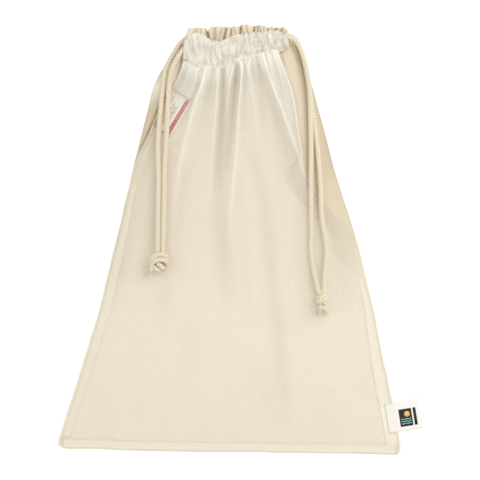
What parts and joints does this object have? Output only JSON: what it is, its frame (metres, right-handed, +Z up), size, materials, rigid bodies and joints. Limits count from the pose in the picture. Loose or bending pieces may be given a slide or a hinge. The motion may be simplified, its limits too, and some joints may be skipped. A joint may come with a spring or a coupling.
{
  "type": "mesh produce bag",
  "caption": "Flat drawstring produce bag with a see-through net front, a plain cotton back and a mouth gathered on two knotted cords.",
  "frame": {"origin": "the point of the back panel's underside below the middle of the bag, on the surface it lies on", "axes": "+X across the bag, +Y from the bottom seam to the mouth, +Z up from the surface through the net front"},
  "size_m": [0.3184, 0.3757, 0.0253],
  "materials": {
    "cotton": "plain unbleached cotton",
    "mesh": "fine see-through net",
    "seam": "overlocked cotton and net",
    "cord": "knitted cotton cord",
    "thread": "sewing thread",
    "ribbon": "white woven ribbon"
  },
  "bodies": {
    "bag": {"back_panel": "cotton", "front_panel": "mesh", "left_side_seam": "seam", "right_side_seam": "seam", "bottom_seam": "seam", "front_casing": "mesh", "back_casing": "cotton", "front_casing_stitching": "thread", "back_casing_stitching": "thread", "side_tag_root": "ribbon", "care_label": "ribbon"},
    "left_drawstring": {"left_cord_loop": "cord", "left_front_tail": "cord", "left_back_tail": "cord", "left_knot": "cord"},
    "right_drawstring": {"right_cord_loop": "cord", "right_front_tail": "cord", "right_back_tail": "cord", "right_knot": "cord"},
    "mouth_left": {"left_front_cuff": "cotton", "left_back_cuff": "cotton"},
    "mouth_right": {"right_front_cuff": "cotton", "right_back_cuff": "cotton"},
    "tag_flap": {"side_tag": "ribbon"}
  },
  "joints": [
    {"name": "cord_pull", "type": "slide", "parent": "bag", "child": "left_drawstring", "axis": [-1, 0, 0], "range_m": [0, 0.01], "deforming": ["front_casing", "back_casing"]},
    {"name": "right_cord_pull", "type": "slide", "parent": "bag", "child": "right_drawstring", "axis": [1, 0, 0], "range_m": [0, 0.01]},
    {"name": "left_mouth_close", "type": "slide", "parent": "bag", "child": "mouth_left", "axis": [1, 0, 0], "range_m": [0, 0.01]},
    {"name": "right_mouth_close", "type": "slide", "parent": "bag", "child": "mouth_right", "axis": [-1, 0, 0], "range_m": [0, 0.01]},
    {"name": "tag_fold", "type": "hinge", "parent": "bag", "child": "tag_flap", "pos_m": [0.1456, -0.1546, 0.0016], "axis": [0.1564, -0.9877, 0], "range_deg": [0, 110]}
  ],
  "couplings": [
    {"joint": "right_cord_pull", "follows": "cord_pull", "ratio": 1},
    {"joint": "left_mouth_close", "follows": "cord_pull", "ratio": 1},
    {"joint": "right_mouth_close", "follows": "cord_pull", "ratio": 1}
  ]
}
